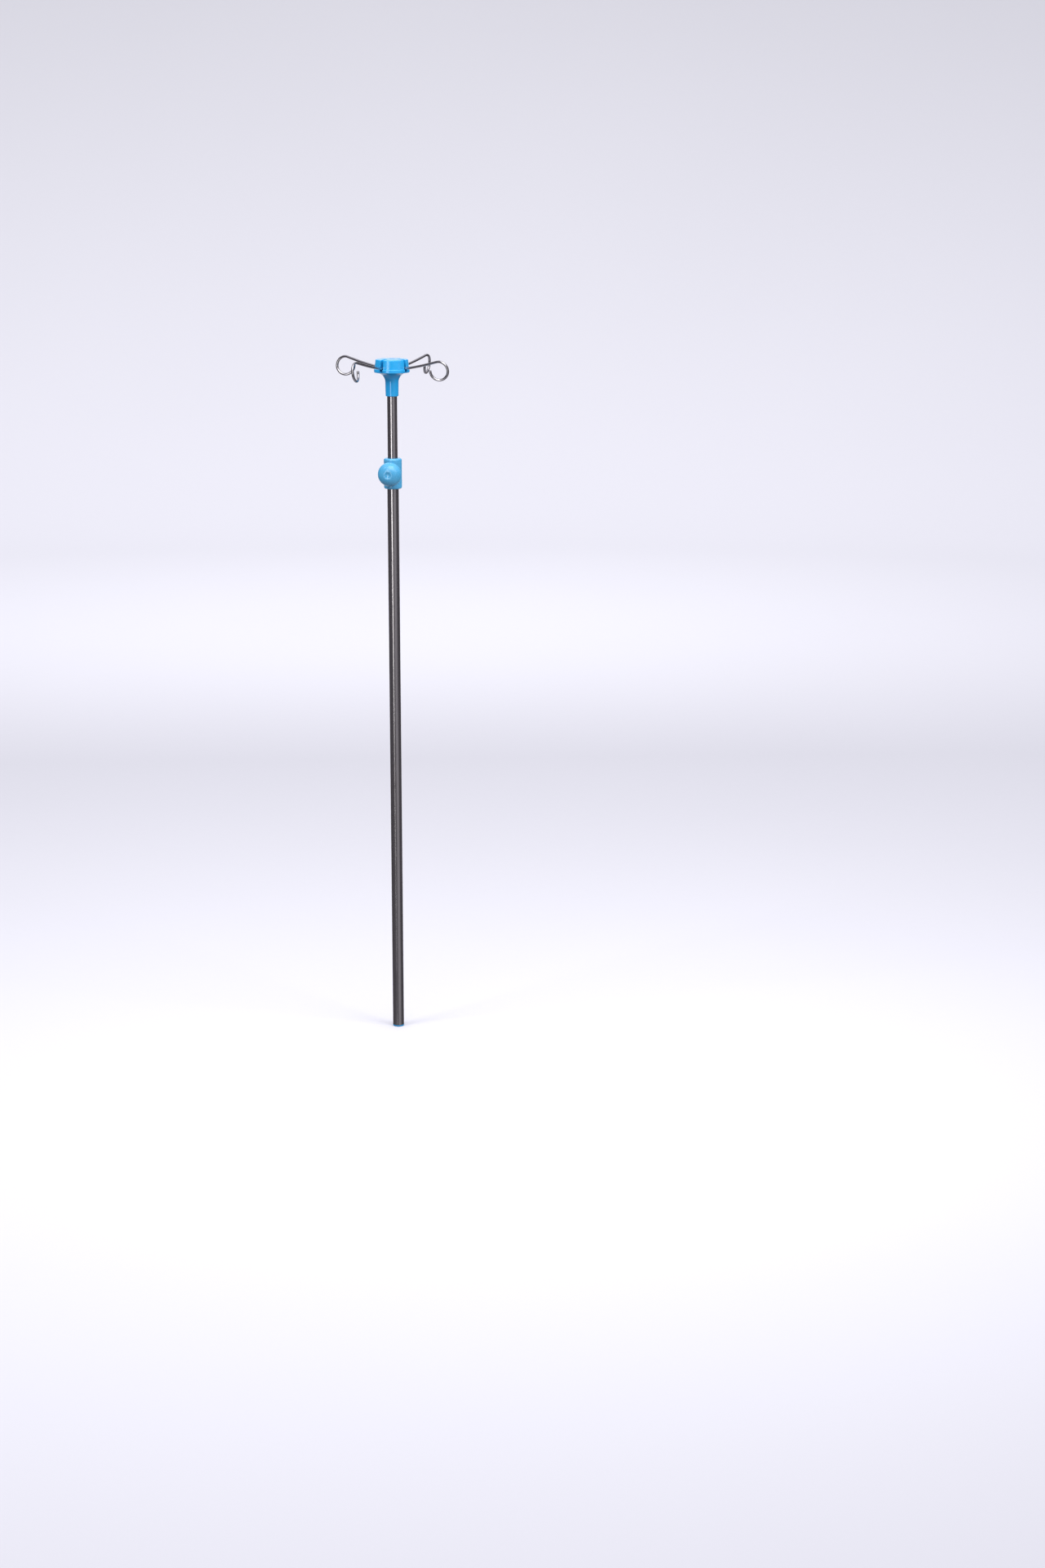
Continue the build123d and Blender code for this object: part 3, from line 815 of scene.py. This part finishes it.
AMBIENT = (0.93, 0.93, 1.0, 1)
AMBIENT_BELOW = 0.20            # strength of the soft light straight from below and from above
AMBIENT_ABOVE = 1.15
CAMERA_SIDE = -52.8             # azimuth of the camera as the pole sees it, in degrees
DARK = (0.075, 0.070, 0.078)
GREY = (0.27, 0.26, 0.275)
PALE = (0.95, 0.95, 1.00)
ROOM = (                        # what gloss sees: degrees to the left of the camera side, colour
    (-162, PALE),
    (-152, DARK),
    (-64, DARK),
    (-54, GREY),
    (-12, GREY),
    (-2, DARK),
    (152, DARK),
    (162, PALE),
)
CEILING = (0.62, 0.62, 0.68, 1)
CEILING_LOW = 0.40              # rise of the unit direction where gloss starts to see it
CEILING_HIGH = 0.75             # and where gloss sees nothing else
FLOOR_GLOSS = (0.34, 0.34, 0.38, 1)
FLOOR_HIGH = -0.50              # the same for the floor
FLOOR_LOW = -0.80
WHITE = (1.0, 1.0, 1.0)
WARM_WHITE = (1.0, 0.99, 0.97)
CAMERA_PLACE = (3.293, -4.338, 1.77)
CAMERA_PITCH = 76.8             # degrees: 90 is level
CAMERA_HEADING = 34.6
LENS_MM = 65.6
SENSOR_MM = 36.0


def set_stops(ramp, stops):
    """Fill a colour ramp round the compass with (degrees, colour) stops."""
    placed = sorted(((CAMERA_SIDE - turn + 180) % 360 / 360, colour) for turn, colour in stops)
    while len(ramp.elements) > 1:
        ramp.elements.remove(ramp.elements[-1])
    ramp.elements[0].position = placed[0][0]
    ramp.elements[0].color = (*placed[0][1], 1)
    for position, colour in placed[1:]:
        ramp.elements.new(position).color = (*colour, 1)


def room_colour(tree, way):
    """Colour that gloss sees along a way: the room round the compass, the ceiling, the floor."""
    azimuth = maths(tree, "ARCTAN2", way.outputs["Y"], way.outputs["X"])
    ramp = add_node(tree, "ValToRGB", {0: span(tree, azimuth, -math.pi, math.pi, 0, 1)})
    set_stops(ramp.color_ramp, ROOM)
    upward = span(tree, way.outputs["Z"], CEILING_LOW, CEILING_HIGH, 0, 1)
    downward = span(tree, way.outputs["Z"], FLOOR_HIGH, FLOOR_LOW, 0, 1)
    return blend(tree, downward, blend(tree, upward, ramp.outputs[0], CEILING), FLOOR_GLOSS)


def surroundings():
    """World: soft light, stronger from above, and a dark room with a pale backdrop for gloss."""
    world = bpy.data.worlds.new("studio")
    bpy.context.scene.world = world
    world.use_nodes = True
    tree = world.node_tree
    way = add_node(tree, "SeparateXYZ", {0: add_node(tree, "TexCoord").outputs["Generated"]})
    strength = span(tree, way.outputs["Z"], -1, 1, AMBIENT_BELOW, AMBIENT_ABOVE)
    ambient = add_node(tree, "Background", {"Color": AMBIENT, "Strength": strength})
    room = add_node(tree, "Background", {"Color": room_colour(tree, way), "Strength": 1.0})
    glossy = add_node(tree, "LightPath").outputs["Is Glossy Ray"]
    mixed = add_node(tree, "MixShader", {0: glossy, 1: ambient.outputs[0], 2: room.outputs[0]})
    tree.links.new(mixed.outputs[0], tree.nodes["World Output"].inputs["Surface"])


def softbox(name, turn, distance, height, width, tall, power, aim_height, colour=WHITE):
    """Area light some degrees round the pole from the camera, aimed at a height on the pole."""
    data = bpy.data.lights.new(name, "AREA")
    data.shape = "RECTANGLE"
    data.size = width
    data.size_y = tall
    data.energy = power
    data.color = colour
    light = bpy.data.objects.new(name, data)
    bpy.context.scene.collection.objects.link(light)
    angle = math.radians(CAMERA_SIDE + turn)
    light.location = (distance * math.cos(angle), distance * math.sin(angle), height)
    light.rotation_mode = "QUATERNION"
    aim = Vector((0, 0, aim_height)) - light.location
    light.rotation_quaternion = aim.to_track_quat("-Z", "Y")
    light.visible_camera = False
    return light


def strip_light(head):
    """Tall strip whose reflection is the bright line along the tubes."""
    light = softbox(
        "strip", turn=-26.6, distance=2.2, height=1.5, width=0.60, tall=2.2,
        power=12, aim_height=head * 0.7, colour=WARM_WHITE,
    )
    light.visible_diffuse = False


def overhead_light(head):
    """Wide light close over the head, for the gleam on the plastic and the wires."""
    softbox(
        "overhead", turn=10, distance=0.8, height=2.5, width=1.4, tall=1.4,
        power=15, aim_height=head * 0.8,
    )


def key_light(head):
    """Light from the left that gloss doesn't show."""
    light = softbox(
        "key", turn=-60, distance=1.3, height=2.5, width=0.6, tall=0.6,
        power=17, aim_height=head,
    )
    light.visible_glossy = False


def fill_light(head):
    """Light from the right that gloss doesn't show."""
    light = softbox(
        "fill", turn=55, distance=1.6, height=1.9, width=0.9, tall=0.9,
        power=18, aim_height=head,
    )
    light.visible_glossy = False


def backdrop_light():
    """Light behind the pole, turned away from it to the backdrop."""
    light = softbox(
        "backdrop", turn=180, distance=3.0, height=3.5, width=3.0, tall=1.5,
        power=125, aim_height=4.0,
    )
    light.rotation_quaternion = light.rotation_quaternion @ Quaternion((0, 1, 0), math.pi)
    light.visible_glossy = False


def camera():
    """Camera at standing height, 5.4 m off, looking a little down on the pole."""
    data = bpy.data.cameras.new("camera")
    data.sensor_fit = "VERTICAL"
    data.sensor_height = SENSOR_MM
    data.lens = LENS_MM
    shot = bpy.data.objects.new("camera", data)
    bpy.context.scene.collection.objects.link(shot)
    shot.location = CAMERA_PLACE
    shot.rotation_euler = (math.radians(CAMERA_PITCH), 0, math.radians(CAMERA_HEADING))
    bpy.context.scene.camera = shot


studio_bowl()
surroundings()
strip_light(cad_high.z)
overhead_light(cad_high.z)
key_light(cad_high.z)
fill_light(cad_high.z)
backdrop_light()
camera()
bpy.context.scene.view_settings.view_transform = "Standard"
